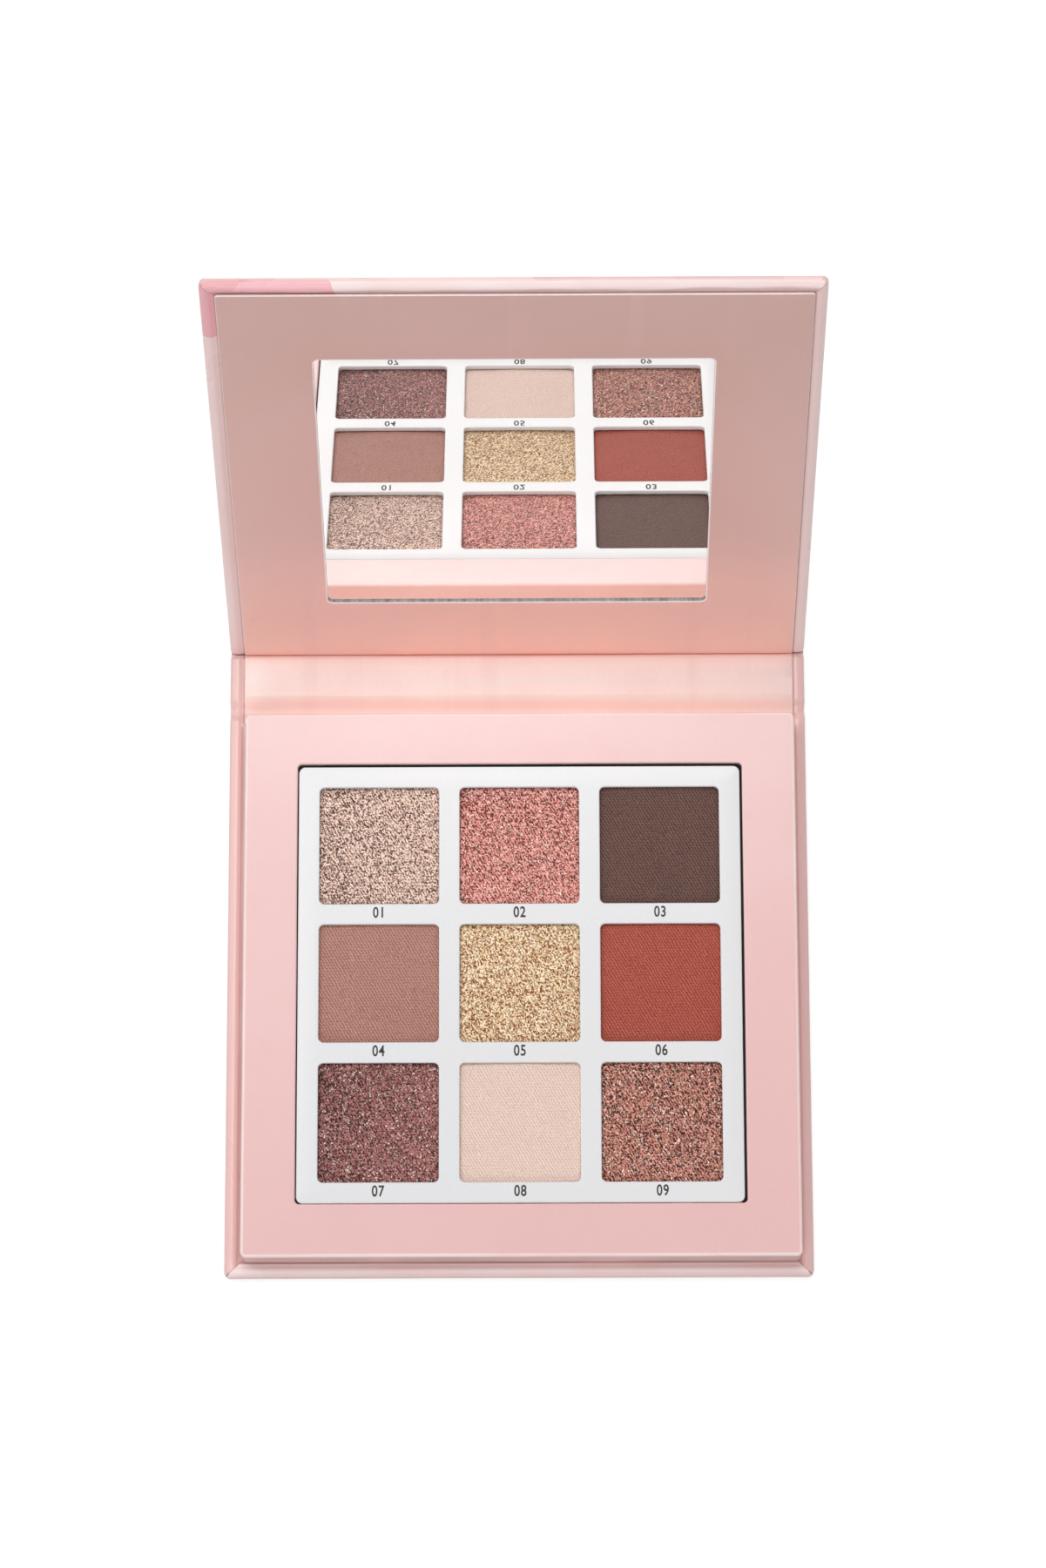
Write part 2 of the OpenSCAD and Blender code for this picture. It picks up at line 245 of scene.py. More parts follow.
def slab(outline, outline_rings, holes=(), rows=(), keep=None):
    """A closed plate. outline_rings runs from the underside round the outside to the top, and each
    hole's rings from the top down to the underside, as (inset, height, material) with the height a
    number or a function of x and y. A hole's loop runs clockwise."""
    shape, plan = Shape(), {}

    def level(h, x, y):
        return h(x, y) if callable(h) else h

    def ring(loop, q, h):
        points = offset(loop, q, keep)
        ids = shape.add([(x, y, level(h, x, y)) for x, y in points])
        plan.update(zip(ids, points))
        return ids

    rings = [ring(outline, q, h) for q, h, m in outline_rings]
    for a, b, (q, h, m) in zip(rings, rings[1:], outline_rings[1:]):
        shape.skin(a, b, m)
    tops, lows = [rings[-1]], [rings[0]]
    for loop, hole_rings in holes:
        made = [ring(loop, q, h) for q, h, m in hole_rings]
        for a, b, (q, h, m) in zip(made, made[1:], hole_rings[1:]):
            shape.skin(a, b, m)
        tops.append(made[0])
        lows.append(made[-1])
    top, low = outline_rings[-1], outline_rings[0]
    shape.fill(tops, rows, plan, lambda x, y: (x, y, level(top[1], x, y)), True, top[2])
    shape.fill(lows, rows, plan, lambda x, y: (x, y, level(low[1], x, y)), False, low[2])
    return shape


def below(h, drop):
    """A height, a number or a function of x and y, lowered by drop."""
    return (lambda x, y: h(x, y) - drop) if callable(h) else h - drop


def rounding(r, h, steps, mat=0):
    """Rings of a rounded top edge, from the wall up to the flat, below the height h."""
    turn = [math.pi / 2 * i / steps for i in range(steps + 1)]
    return [(r * (1 - math.cos(a)), below(h, r * (1 - math.sin(a))), mat) for a in turn]


def stand(name, data):
    """A new object in the scene."""
    ob = bpy.data.objects.new(name, data)
    bpy.context.scene.collection.objects.link(ob)
    return ob


def baked(ob):
    """A mesh of the object as it stands, with its modifiers applied."""
    return bpy.data.meshes.new_from_object(ob.evaluated_get(bpy.context.evaluated_depsgraph_get()))


def make(shape, name, body, place, mats, replaces, angle=SHARP):
    """An object from a shape. place turns its points into places in the frame."""
    ob = stand(name, shape.mesh(name, place, angle))
    for m in mats:
        ob.data.materials.append(m)
    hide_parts(*replaces)
    if body:
        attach(ob, body)
    return ob


# ---- The two folds ----

FOLD_R = FOLD_HALF / math.tan(LID_TILT / 2)


def on_base(x, s, h):
    """A point of the flat half of the case: s from the base fold, h above the table."""
    return (x, BASE_FOLD + s, h)


def on_lid(x, s, h):
    """A point of the lid half: s from the lid fold along the sheet, h above its outside."""
    if s <= -FOLD_HALF:
        return (x, LID_FOLD + s, h)
    if s >= FOLD_HALF:
        y = s * math.cos(LID_TILT) - h * math.sin(LID_TILT)
        return (x, LID_FOLD + y, s * math.sin(LID_TILT) + h * math.cos(LID_TILT))
    a = LID_TILT * (s + FOLD_HALF) / (2 * FOLD_HALF)
    y = -FOLD_HALF + (FOLD_R - h) * math.sin(a)
    return (x, LID_FOLD + y, FOLD_R - (FOLD_R - h) * math.cos(a))


def bend_at_base(ob):
    """Bakes the place of a piece that spans the base and the spine into its mesh."""
    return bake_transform(ob)


def bend_at_lid(ob):
    """Bakes the place of a piece into its mesh; the pieces that span the spine and the lid are bent
    across their fold by on_lid as they are made.
    """
    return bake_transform(ob)


# ---- Materials ----


def srgb(r, g, b):
    """A colour given in 8-bit sRGB, as linear light."""
    def one(c):
        c /= 255
        return c / 12.92 if c <= 0.04045 else ((c + 0.055) / 1.055) ** 2.4
    return (one(r), one(g), one(b), 1.0)


IOR = 1.45
WHITE = (1.0, 1.0, 1.0, 1.0)


class Nodes:
    """Short names for building one node material, or the world."""

    def __init__(self, name, world=False):
        self.home = (bpy.data.worlds if world else bpy.data.materials).new(name)
        self.home.use_nodes = True
        self.tree = self.home.node_tree
        self.tree.nodes.clear()
        self.out = self.node("ShaderNodeOutputWorld" if world else "ShaderNodeOutputMaterial")
        self.coords = None

    def put(self, socket, value):
        """Links a socket to another one, or sets it to a constant."""
        if isinstance(value, bpy.types.NodeSocket):
            self.tree.links.new(value, socket)
        elif value is not None:
            socket.default_value = value

    def node(self, kind, props=(), **inputs):
        """A node with its properties and inputs set. An input's name has _ for a space."""
        n = self.tree.nodes.new(kind)
        for key, value in dict(props).items():
            setattr(n, key, value)
        for key, value in inputs.items():
            self.put(n.inputs[key.replace("_", " ")], value)
        return n

    def place(self, scale=1000.0, angle=0.0, squeeze=(1.0, 1.0, 1.0), shift=(0.0, 0.0, 0.0),
              uv=False):
        """Coordinates in millimetres at scale 1000, turned by angle about Z."""
        if self.coords is None:
            self.coords = self.node("ShaderNodeTexCoord")
        if uv:
            source = self.node("ShaderNodeUVMap", {"uv_map": "sheet"}).outputs["UV"]
        else:
            source = self.coords.outputs["Object"]
        turned = self.node("ShaderNodeMapping", Vector=source)
        turned.inputs["Rotation"].default_value = (0, 0, math.radians(angle))
        turned.inputs["Scale"].default_value = (scale, scale, scale)
        n = self.node("ShaderNodeMapping", Vector=turned.outputs["Vector"])
        n.inputs["Location"].default_value = shift
        n.inputs["Scale"].default_value = squeeze
        return n.outputs["Vector"]

    def noise(self, vector, scale, detail=2.0, rough=0.5):
        n = self.node("ShaderNodeTexNoise", Vector=vector, Scale=scale, Detail=detail,
                      Roughness=rough)
        return n.outputs["Fac"]

    def cells(self, vector, scale, color=False):
        n = self.node("ShaderNodeTexVoronoi", Vector=vector, Scale=scale)
        return n.outputs["Color" if color else "Distance"]

    def wave(self, vector, scale, distortion, detail, detail_scale):
        n = self.node("ShaderNodeTexWave", Vector=vector, Scale=scale, Distortion=distortion,
                      Detail=detail, Detail_Scale=detail_scale)
        return n.outputs["Fac"]

    def math(self, op, a, b=None):
        n = self.node("ShaderNodeMath", {"operation": op})
        self.put(n.inputs[0], a)
        self.put(n.inputs[1], b)
        return n.outputs[0]

    def times(self, a, b):
        return self.math("MULTIPLY", a, b)

    def plus(self, a, b):
        return self.math("ADD", a, b)

    def minus(self, a, b):
        return self.math("SUBTRACT", a, b)

    def weigh(self, a, k, b, j):
        """a times k plus b times j."""
        return self.plus(self.times(a, k), self.times(b, j))

    def span(self, value, a, b, lo=0.0, hi=1.0, soft=False):
        """The value between a and b, held to that span and brought to lo to hi."""
        kind = "SMOOTHSTEP" if soft else "LINEAR"
        n = self.node("ShaderNodeMapRange", {"interpolation_type": kind}, Value=value)
        for key, v in (("From Min", a), ("From Max", b), ("To Min", lo), ("To Max", hi)):
            n.inputs[key].default_value = v
        return n.outputs["Result"]

    def mix(self, factor, a, b):
        n = self.node("ShaderNodeMix", {"data_type": "RGBA"})
        self.put(n.inputs[0], factor)
        self.put(n.inputs[6], a)
        self.put(n.inputs[7], b)
        return n.outputs[2]

    def ramp(self, value, stops):
        """Colours at places from 0 to 1, blended softly."""
        n = self.node("ShaderNodeValToRGB")
        self.put(n.inputs[0], value)
        n.color_ramp.interpolation = "EASE"
        marks = n.color_ramp.elements
        while len(marks) < len(stops):
            marks.new(0.5)
        for mark, (at, color) in zip(marks, stops):
            mark.position = at
        for mark, (at, color) in zip(marks, stops):
            mark.color = color
        return n.outputs["Color"]

    def parts(self, value):
        return self.node("ShaderNodeSeparateXYZ", Vector=value).outputs

    def bump(self, height, distance, strength):
        n = self.node("ShaderNodeBump", Height=height, Strength=strength, Distance=distance)
        return n.outputs["Normal"]

    def finish(self, color, rough, normal=None, metallic=0.0, spec=0.5, coat=0.0, coat_rough=0.1,
               sheen=0.0):
        n = self.node("ShaderNodeBsdfPrincipled", Base_Color=color, Roughness=rough,
                      Metallic=metallic, Specular_IOR_Level=spec, IOR=IOR, Coat_Weight=coat,
                      Coat_Roughness=coat_rough, Sheen_Weight=sheen, Normal=normal)
        self.put(self.out.inputs["Surface"], n.outputs[0])
        return self.home


def paper(name, pale, deep, rough=0.32, streak=0.0, tints=None):
    """Satin laminated pink paper: soft tonal clouds, fine fibres and the odd speck. tints gives
    colours by the place along the sheet in millimetres, which on a liner starts at the fold; these
    colours carry painted light and shade."""
    m = Nodes(name)
    p = m.place()
    clouds = m.noise(p, 0.035, 3.0, 0.55)
    fibres = m.noise(m.place(squeeze=(1, 0.35, 1)), 3.2, 3.0, 0.6)
    if tints:
        lo, hi = tints[0][0], tints[-1][0]
        along = m.parts(m.place(uv=True))[1]
        sway = m.span(m.noise(m.place(squeeze=(0.4, 1, 1)), 0.08, 2.0), 0.3, 0.7, -0.5, 0.5)
        where = m.span(m.plus(along, sway), lo, hi)
        base = m.ramp(where, [((t - lo) / (hi - lo), c) for t, c in tints])
        color = m.mix(m.span(clouds, 0.35, 0.68, 0.0, 0.3, True), base, deep)
    else:
        color = m.mix(m.span(clouds, 0.35, 0.68, soft=True), pale, deep)
    if streak:
        lines = m.noise(m.place(squeeze=(1, 0.05, 0.05)), 0.16, 3.0, 0.5)
        color = m.mix(m.span(lines, 0.52, 0.72, 0.0, streak, True), color, deep)
    color = m.mix(m.span(fibres, 0.3, 0.7, 0.0, 0.07), color, srgb(205, 160, 158))
    specks = m.math("LESS_THAN", m.cells(p, 0.13), 0.018)
    color = m.mix(m.times(specks, 0.5), color, srgb(150, 96, 92))
    roughness = m.span(m.noise(p, 0.5, 4.0, 0.6), 0.3, 0.7, rough - 0.04, rough + 0.05)
    height = m.weigh(fibres, 0.35, m.noise(p, 0.9, 2.0), 0.65)
    normal = m.bump(height, 0.009 * MM, 0.6)
    return m.finish(color, roughness, normal, coat=0.35, coat_rough=0.25, sheen=0.12)


def printed_wrap(name, side_shade_at, end_shade_at, end_shade_amount, on_lid_side):
    """The case's outer sheet: a plain tone-on-tone print of large soft pink facets, paler where the
    sheet is turned in over the edges, partly a plain border and partly painted light, and darker
    along painted shadow lines where the tray or the inner paper starts."""
    m = Nodes(name)
    p = m.place(uv=True)
    facet = m.parts(m.cells(m.place(uv=True, angle=24, squeeze=(1.0, 0.62, 1.0)), 0.036, color=True))
    small = m.parts(m.cells(m.place(uv=True, angle=-40, squeeze=(1.0, 0.55, 1.0)), 0.06, color=True))
    tone = m.weigh(facet[0], 0.7, small[1], 0.3)
    printed = m.mix(m.span(tone, 0.15, 0.85), srgb(247, 218, 214), srgb(228, 176, 178))
    flat = m.parts(p)
    aside = m.minus(m.math("ABSOLUTE", flat[0]), HALF_W)
    beyond = m.minus(flat[1], PANEL_D)
    turned = m.span(m.math("MAXIMUM", aside, beyond), 0.4, 1.2)
    # The turned-in border is paler, partly its plain tone and partly painted light that lifts the
    # tray's shade, and painted duller at the sides than at the ends, whose paler tone stands for a
    # sheen.
    border = m.mix(m.span(m.noise(p, 0.045, 2.0), 0.4, 0.66, 0.0, 0.6, True), srgb(255, 236, 234),
                   srgb(253, 223, 221))
    sided = m.math("GREATER_THAN", m.minus(aside, beyond), 0.0)
    upward = m.span(flat[1], 0.0, 6.0, 1.0, 0.45) if on_lid_side else 1.0
    border = m.mix(m.times(sided, upward), border, srgb(240, 198, 193))
    if on_lid_side:
        # A deeper printed patch at the upper left, and a painted shadow band along the upper edge,
        # the dark half of a painted satin reflection.
        slant = m.minus(flat[0], m.times(flat[1], 0.3))
        left = m.math("LESS_THAN", slant, -31.0 - 0.3 * (PANEL_D + 2))
        corner = m.plus(flat[0], m.times(flat[1], 0.9))
        inner = m.math("LESS_THAN", corner, -46.6 + 0.9 * (PANEL_D + PANEL_T))
        upper = m.math("GREATER_THAN", flat[1], PANEL_D - 13.5)
        deep = m.mix(inner, srgb(250, 190, 196), srgb(243, 174, 182))
        border = m.mix(m.times(left, upper), border, deep)
        drift = m.times(m.noise(m.place(uv=True, squeeze=(1.0, 0.0, 1.0)), 0.07, 1.0), 1.6)
        band = m.minus(beyond, m.minus(drift, m.times(flat[0], 0.006)))
        band = m.span(band, PANEL_T + 0.3, PANEL_T + 0.75, 0.0, 0.62, True)
        shade = m.mix(m.times(left, upper), srgb(206, 152, 148), srgb(184, 110, 118))
        band = m.times(band, m.math("GREATER_THAN", beyond, aside))
        border = m.mix(band, border, shade)
    color = m.mix(turned, printed, border)
    # The mitred corners show a fine line, and on the base a painted shadow at its tip, where an open
    # slit would be dark.
    mitre = m.math("ABSOLUTE", m.minus(m.plus(aside, beyond), PANEL_T))
    on_top = m.math("GREATER_THAN", m.math("MAXIMUM", aside, beyond), PANEL_T + 0.2)
    color = m.mix(m.times(m.span(mitre, 0.05, 0.2, 0.5, 0.0), on_top), color, srgb(160, 104, 100))
    if not on_lid_side:
        # Painted shade on the outer roll of the front border, where it turns away from the light.
        outer = m.span(beyond, PANEL_T + 0.2, PANEL_T + 0.85, 0.5, 0.0)
        rolled = m.math("GREATER_THAN", beyond, PANEL_T * 0.6)
        color = m.mix(m.times(outer, rolled), color, srgb(194, 152, 150))
        slit = m.times(m.span(mitre, 0.06, 0.24, 0.8, 0.0), on_top)
        tip = m.span(m.math("MAXIMUM", aside, beyond), PANEL_T + 0.7, PANEL_T + 1.1, 1.0, 0.0)
        color = m.mix(m.times(slit, tip), color, srgb(96, 52, 48))
    # Painted shadow lines, where the tray or the liner starts.
    at_tray = 0.0 if on_lid_side else m.math("GREATER_THAN", flat[1], 3.0)
    at_left = m.times(m.math("LESS_THAN", flat[0], 0.0), LEFT_TRIM)
    liner_side = m.plus(at_left, HALF_W - LINER_HALF_W)
    side = m.plus(liner_side, m.times(at_tray, m.minus(side_shade_at, liner_side)))
    for reach, depth, amount in ((aside, side, 0.55), (beyond, end_shade_at, end_shade_amount)):
        line = m.span(m.minus(reach, depth), PANEL_T - 0.42, PANEL_T - 0.1, 0.0, amount, True)
        color = m.mix(line, color, srgb(152, 98, 94))
    # Painted shade in the crease of the lid's fold, strongest at its ends on the turned-in sides.
    if on_lid_side:
        fold = m.span(m.math("ABSOLUTE", flat[1]), 0.12, 0.34, 0.75, 0.0)
        fold = m.times(fold, m.span(aside, PANEL_T + 0.5, PANEL_T + 1.3, 0.25, 1.0))
        color = m.mix(fold, color, srgb(142, 72, 62))
    haze = m.noise(p, 0.05, 3.0, 0.5)
    color = m.mix(m.span(haze, 0.4, 0.7, 0.0, 0.3, True), color, srgb(240, 201, 196))
    grain = m.noise(p, 2.4, 2.0, 0.5)
    color = m.mix(m.span(grain, 0.3, 0.7, 0.03, 0.05), color, srgb(200, 150, 150))
    roughness = m.span(m.noise(p, 0.1, 2.0), 0.3, 0.7, 0.27, 0.31)
    height = m.weigh(grain, 0.4, m.noise(p, 0.7, 2.0), 0.6)
    normal = m.bump(height, 0.003 * MM, 0.6)
    return m.finish(color, roughness, normal, coat=0.35, coat_rough=0.2, sheen=0.1)


def white_card(name):
    """Smooth coated card."""
    m = Nodes(name)
    p = m.place()
    fine = m.noise(p, 2.5, 4.0, 0.6)
    color = m.mix(m.span(fine, 0.3, 0.7), srgb(235, 236, 238), srgb(229, 230, 232))
    color = m.mix(m.span(m.noise(p, 0.06, 2.0), 0.4, 0.7, 0.0, 0.5), color, srgb(234, 233, 234))
    rough = m.span(m.noise(p, 0.8, 3.0), 0.3, 0.7, 0.42, 0.52)
    return m.finish(color, rough, m.bump(fine, 0.008 * MM, 0.5), coat=0.5, coat_rough=0.2, sheen=0.1)


def board(name, light, dark, scale=1.4, rough=0.85):
    """Raw board: pulp flecks and a felted grain."""
    m = Nodes(name)
    p = m.place()
    grain = m.noise(p, scale, 5.0, 0.65)
    fleck = m.math("LESS_THAN", m.cells(p, 1.1), 0.16)
    color = m.mix(m.span(grain, 0.35, 0.65), light, dark)
    color = m.mix(m.times(fleck, 0.25), color, dark)
    roughness = m.span(grain, 0.3, 0.7, rough - 0.08, rough)
    return m.finish(color, roughness, m.bump(grain, 0.03 * MM, 0.6))


def metal(name, color, rough):
    """Sheet metal with fine rolling lines."""
    m = Nodes(name)
    lines = m.noise(m.place(squeeze=(1.0, 0.08, 1.0)), 6.0, 3.0, 0.6)
    shade = m.mix(m.span(lines, 0.3, 0.7), color, tuple(0.82 * c for c in color[:3]) + (1.0,))
    roughness = m.span(lines, 0.3, 0.7, rough, rough + 0.12)
    return m.finish(shade, roughness, m.bump(lines, 0.004 * MM, 0.4), 1.0)


def powder(name, pale, mid, dark, shimmer, seed, weave, middle, lean):
    """Pressed powder with the mark of the press cloth: rows of stitches crossed by a steep twill.
    shimmer is how much it sparkles, with painted white glints, and lean how it brightens to the
    right and to the back, a painted sheen."""
    m = Nodes(name)
    shift = (seed * 3.7, seed * 1.9, seed)
    warp = m.node("ShaderNodeTexNoise", Vector=m.place(shift=shift), Scale=0.55, Detail=2.0)
    warp = warp.outputs["Color"]

    def threads(angle, pitch, sway):
        """Stripes that repeat about once in a pitch, in millimetres."""
        v = m.node("ShaderNodeVectorMath", {"operation": "MULTIPLY_ADD"})
        m.put(v.inputs[0], warp)
        v.inputs[1].default_value = (sway, sway, 0.0)
        m.put(v.inputs[2], m.place(angle=angle, shift=shift))
        return m.wave(v.outputs[0], 1.0 / pitch / 3.1416, 0.22, 2.0, 3.4)

    rows = threads(90, 0.56, 0.5)
    twill = threads(-30, 0.52, 0.6)
    cloth = m.weigh(rows, 0.3, twill, 0.7)
    p = m.place(shift=shift)
    long = m.place(angle=-32, squeeze=(1.0, 0.7, 1.0), shift=shift)
    grain = m.span(m.noise(long, 6.4, 1.0, 0.6), 0.38, 0.62)
    patch = m.span(m.noise(p, 0.22, 3.0, 0.6), 0.3, 0.7, -0.5, 0.5)
    relief = m.weigh(cloth, 0.6 * weave, grain, 1 - 0.6 * weave)
    spot = m.parts(m.place(scale=1.0))
    # lean sets a painted sheen: the tone rises towards one side of the pan.
    lean = [k / (OPENING / 2 * MM) for k in lean]
    slope = [m.times(m.minus(spot[k], middle[k] * MM), lean[k]) for k in (0, 1)]
    tone = m.plus(relief, m.times(patch, 0.12 if shimmer else 0.06))
    tone = m.plus(tone, m.plus(*slope))
    color = m.mix(m.span(tone, 0.3, 0.52), dark, mid)
    color = m.mix(m.span(tone, 0.48, 0.7), color, pale)
    if shimmer:
        flakes = m.parts(m.cells(long, 5.6, color=True))
        color = m.mix(m.span(flakes[0], 0.42, 0.66, 0.0, shimmer), color, pale)
        color = m.mix(m.span(flakes[1], 0.56, 0.76, 0.0, shimmer), color, dark)
        # White specks: painted glints on the shimmer.
        spark = m.parts(m.cells(p, 4.6, color=True))
        color = m.mix(m.span(spark[2], 0.9, 1.0, 0.0, shimmer), color, srgb(255, 246, 234))
        height = m.plus(relief, m.times(flakes[2], 0.5))
        rough = m.span(flakes[0], 0.0, 1.0, 0.5, 0.28)
        normal = m.bump(height, 0.09 * MM, 0.9)
        metallic = m.span(flakes[1], 0.3, 0.9, 0.15, 0.55)
        return m.finish(color, rough, normal, metallic, spec=0.3)
    normal = m.bump(relief, 0.07 * MM, 0.85)
    return m.finish(color, m.span(grain, 0.0, 1.0, 0.52, 0.64), normal, spec=0.35, sheen=0.12)


def mirror_finish(name):
    """Silvered glass with a trace of film on it."""
    m = Nodes(name)
    film = m.noise(m.place(), 0.08, 3.0, 0.6)
    color = m.mix(m.span(film, 0.35, 0.7), srgb(252, 249, 247), srgb(249, 246, 244))
    return m.finish(color, m.span(film, 0.3, 0.7, 0.0, 0.012), None, 1.0)


def ink(name):
    """Dark printing ink."""
    m = Nodes(name)
    return m.finish(m.mix(m.noise(m.place(), 4.0, 3.0), srgb(24, 22, 23), srgb(46, 43, 43)), 0.55)


# Tray paper tones along y: the foot of the front wall darker as painted shade, and paler towards the
# back as a painted sheen.
TRAY_LIGHT_TINTS = [
    (TRAY_LOW.y + 0.04, srgb(212, 166, 164)), (TRAY_LOW.y + 0.1, srgb(238, 192, 190)),
    (0.0, srgb(240, 197, 195)), (30.0, srgb(240, 200, 198)), (TRAY_HIGH.y, srgb(244, 209, 207)),
]
# Liner tones from the fold along the sheet: pale across the spine as a painted sheen, a dark crease
# line as painted shade, brighter and warmer just above it as painted bounce light, and darker towards
# the lid's top as painted shade.
FOLD_LIGHT_TINTS = [
    (-7.0, srgb(252, 230, 225)), (-3.8, srgb(251, 224, 217)), (-2.2, srgb(250, 213, 204)),
    (-0.8, srgb(247, 194, 184)), (-0.1, srgb(212, 134, 120)), (0.6, srgb(255, 196, 180)),
    (3.5, srgb(255, 200, 186)), (16.0, srgb(250, 194, 182)), (40.0, srgb(230, 183, 174)),
    (106.0, srgb(217, 175, 166)),
]
# Spine liner tones: deeper pink in the trough by the fold as painted shade and bounce, paler on the
# flat of the spine as a painted sheen.
SPINE_LIGHT_TINTS = [
    (-2.0, srgb(252, 214, 205)), (1.0, srgb(252, 212, 202)), (2.6, srgb(251, 227, 220)),
    (7.0, srgb(250, 230, 225)),
]
LINER_DEEP = srgb(234, 188, 183)

mat_tray = paper("tray_paper", None, srgb(235, 185, 183), tints=TRAY_LIGHT_TINTS)
# Paler paper for the tray's rounded top edge: a painted highlight.
mat_tray_edge_highlight = paper("tray_edge_highlight", srgb(255, 232, 229), srgb(251, 222, 219))
# Paler paper for the tray's back wall: painted light lifting the shade between the tray and the lid.
mat_tray_back_lift = paper("tray_back", srgb(255, 230, 223), srgb(252, 220, 213))
mat_liner = paper("liner_paper", None, LINER_DEEP, 0.32, 0.3, FOLD_LIGHT_TINTS)
mat_spine = paper("spine_paper", None, LINER_DEEP, 0.32, 0.2, SPINE_LIGHT_TINTS)
mat_wrap_front = printed_wrap("printed_wrap", HALF_W - TRAY_HIGH.x, TRAY_LOW.y - FRONT, 0.85,
                              False)
mat_wrap_lid = printed_wrap("printed_wrap_lid", HALF_W - LINER_HALF_W, PANEL_D - LINER_FAR, 0.12,
                            True)
mat_card = white_card("white_card")
mat_core = board("liner_core", srgb(176, 168, 166), srgb(120, 113, 113))
# Near-white paper edges: partly the paper's own white cut edge, partly a painted highlight along the
# liner's rounded rim.
mat_edge_and_highlight = board("paper_edge_and_highlight", srgb(255, 248, 246), srgb(250, 236, 233), rough=0.5)
mat_grey = board("greyboard", srgb(168, 160, 148), srgb(140, 132, 122))
# The carrier under the card is near black, a painted shade for the dark gap that shows round the
# card.
mat_gap_shade = board("black_board", srgb(26, 23, 23), srgb(14, 12, 12))
mat_tin = metal("pressed_tin", (0.72, 0.72, 0.71, 1.0), 0.3)
mat_magnet = metal("nickel_magnet", (0.62, 0.61, 0.59, 1.0), 0.22)
mat_steel = metal("steel_disc", (0.5, 0.5, 0.5, 1.0), 0.4)
mat_glue = board("adhesive", srgb(214, 210, 196), srgb(196, 190, 176), 0.8, 0.45)
mat_tape = board("mirror_tape", srgb(70, 68, 68), srgb(52, 50, 50), 0.9, 0.6)
mat_mirror = mirror_finish("silvered_mirror")
mat_ink = ink("number_ink")

# ---- The case: one sheet from the base to the middle of the spine, one from there to the lid ----

HALF_SPINE = SPINE_H / 2
ROLL_W, ROLL_H, LOWER_R = 1.1, 0.62, 0.5
FRONT_FOLD_T, LID_FOLD_T = 1.15, 1.36
# Distances of the points from an outside edge, as far as the sheet is turned in.
BORDER = [0.0, 0.04, 0.1, 0.18, 0.28, 0.4, 0.55, 0.75, 1.0, 1.25, 1.5, 1.75, 2.0, 2.3, 2.6, 2.9,
          3.3, 3.8, 4.5, 5.5, 7.0, 9.5, TURN_IN]
MIDDLE = 99.0    # the distance given to the points between the two turned-in borders
# How far each form moves the sheet: a slow wave, tucks at the fold, the ridge and the dip along the
# rolled edge, the ridge on the mitre, the crumple at the edge and the wave in the flat.
SLOW_WAVE, TUCK_OUT, TUCK_UP, EDGE_RIDGE, EDGE_DIP = 0.04, 0.16, 0.34, 0.2, 0.12
MITRE_RIDGE, CRUMPLE, FLAT_WAVE = 0.10, 0.14, 0.02


def stations():
    """Distances from the fold axis to the panel's free edge, with HALF_SPINE on the other side."""
    near = [-HALF_SPINE, -4.2, -3.0, -2.4, -2.0, -1.8, -1.6, -1.4, -1.2, -0.9, -0.6, -0.4, -0.25,
            -0.12, 0.0, 0.12, 0.25, 0.4, 0.6, 0.9, 1.2, 1.4, 1.6, 1.8, 2.0, 2.4, 3.2, 4.6, 7.0]
    far = [PANEL_D - e for e in [TURN_IN + 4] + BORDER[::-1]]
    return near + list(np.linspace(11.0, far[0] - 5.0, 13)) + far


def edge_drop(e, wide, tall):
    """How far a rounded edge lies under its flat, at a distance e from the outside."""
    return tall * (1 - math.sqrt(1 - (1 - e / wide) ** 2)) if e < wide else 0.0


